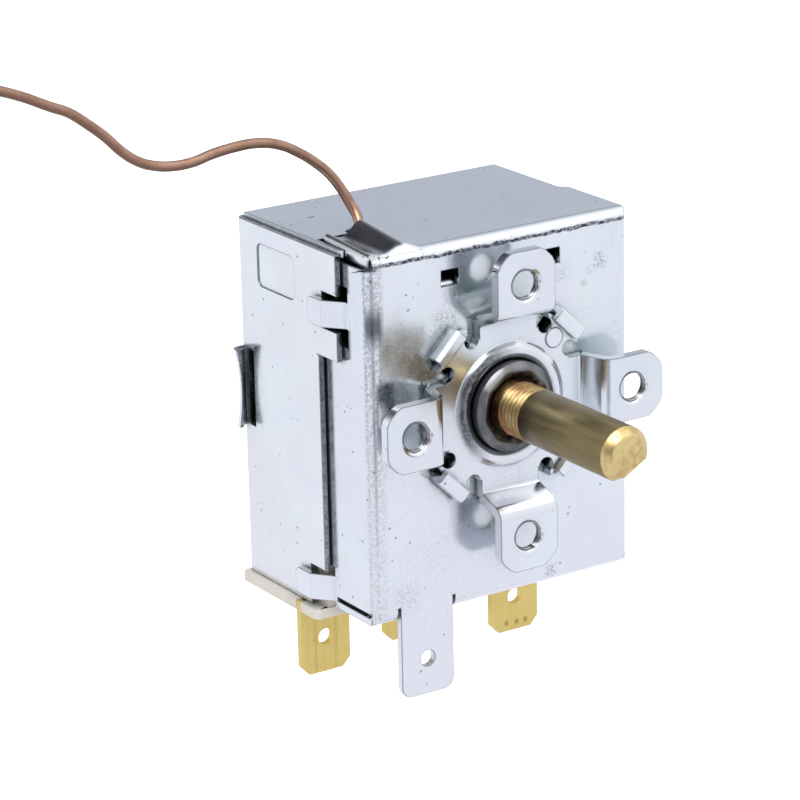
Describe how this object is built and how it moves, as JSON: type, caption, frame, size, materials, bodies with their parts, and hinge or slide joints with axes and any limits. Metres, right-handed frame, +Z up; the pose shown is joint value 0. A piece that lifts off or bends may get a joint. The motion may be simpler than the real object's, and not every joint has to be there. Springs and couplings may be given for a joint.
{
  "type": "capillary temperature control",
  "caption": "Panel-mounted temperature control in a zinc-plated housing, with a flatted control shaft, blade terminals and a coiled capillary ending in a sensing bulb.",
  "frame": {"origin": "centre of the four panel holes, on the front faces of the ears, on the shaft axis", "axes": "+X right seen from the front, +Y into the housing away from the panel, +Z up, terminals pointing down"},
  "size_m": [0.1014, 0.0474, 0.1072],
  "materials": {
    "zinc_plate": "bright zinc plate",
    "zinc_cover": "bright zinc plate",
    "zinc_spider": "bright zinc plate",
    "dark_steel": "dark oiled steel",
    "shaft_brass": "turned brass",
    "tab_brass": "rolled brass",
    "copper": "drawn copper",
    "cream_plastic": "moulded",
    "inner_steel": "plain steel",
    "ball_steel": "polished",
    "capsule_steel": "bright stainless sheet",
    "spring_bronze": "spring bronze",
    "silver_contact": "silver alloy",
    "push_plastic": "moulded",
    "tie_plastic": "soft plastic"
  },
  "bodies": {
    "housing": {"front_frame": "zinc_plate", "mounting_spider": "zinc_spider", "rear_cover": "zinc_cover", "terminal_base": "cream_plastic", "chamber_lid": "cream_plastic", "terminal_left": "tab_brass", "terminal_middle": "tab_brass", "terminal_right": "tab_brass", "spindle_bush": "dark_steel", "stop_pin": "inner_steel", "lever_bracket": "inner_steel", "bracket_rivets": "inner_steel", "lever_pin": "inner_steel", "return_spring": "inner_steel", "blade_rivet": "tab_brass", "upper_contact": "silver_contact", "lower_contact": "silver_contact", "capillary_tube": "copper", "capillary_coil": "copper", "coil_tie": "tie_plastic", "capillary_tail": "copper", "sensing_bulb": "copper"},
    "capsule": {"diaphragm_capsule": "capsule_steel", "thrust_ball": "ball_steel"},
    "spindle": {"control_shaft": "shaft_brass", "stop_disc": "inner_steel"},
    "button": {"capsule_button": "capsule_steel"},
    "lever": {"rocker_lever": "inner_steel", "calibration_screw": "inner_steel"},
    "pusher": {"push_pin": "push_plastic"},
    "blade": {"snap_blade": "spring_bronze", "moving_contact": "silver_contact"}
  },
  "joints": [
    {"name": "capsule_travel", "type": "slide", "parent": "housing", "child": "capsule", "axis": [0, 1, 0], "range_m": [0, 0.000374]},
    {"name": "shaft_turn", "type": "hinge", "parent": "capsule", "child": "spindle", "pos_m": [0, 0, 0], "axis": [0, 1, 0], "range_deg": [0, 270]},
    {"name": "diaphragm_travel", "type": "slide", "parent": "capsule", "child": "button", "axis": [0, 1, 0], "range_m": [0, 0.00038], "stiffness_N_per_m": 20, "springref_m": -0.0002},
    {"name": "lever_tilt", "type": "hinge", "parent": "housing", "child": "lever", "pos_m": [0, 0.0186, -0.004], "axis": [-1, 0, 0], "range_deg": [0, 5.5], "stiffness_Nm_per_rad": 0.0001, "springref_deg": -22.92},
    {"name": "push_travel", "type": "slide", "parent": "housing", "child": "pusher", "axis": [0, 0, -1], "range_m": [0, 0.0005], "stiffness_N_per_m": 0.2, "springref_m": -0.0025, "deforming": ["return_spring"]},
    {"name": "blade_swing", "type": "hinge", "parent": "housing", "child": "blade", "pos_m": [-0.01405, 0.0234, -0.01675], "axis": [0, 1, 0], "range_deg": [0, 2]}
  ],
  "couplings": [
    {"joint": "shaft_turn", "follows": "capsule_travel", "rad_per_m": 12566},
    {"joint": "lever_tilt", "follows": "diaphragm_travel", "rad_per_m": 250},
    {"joint": "push_travel", "follows": "diaphragm_travel", "ratio": 1.2},
    {"joint": "blade_swing", "follows": "diaphragm_travel", "rad_per_m": 80}
  ]
}
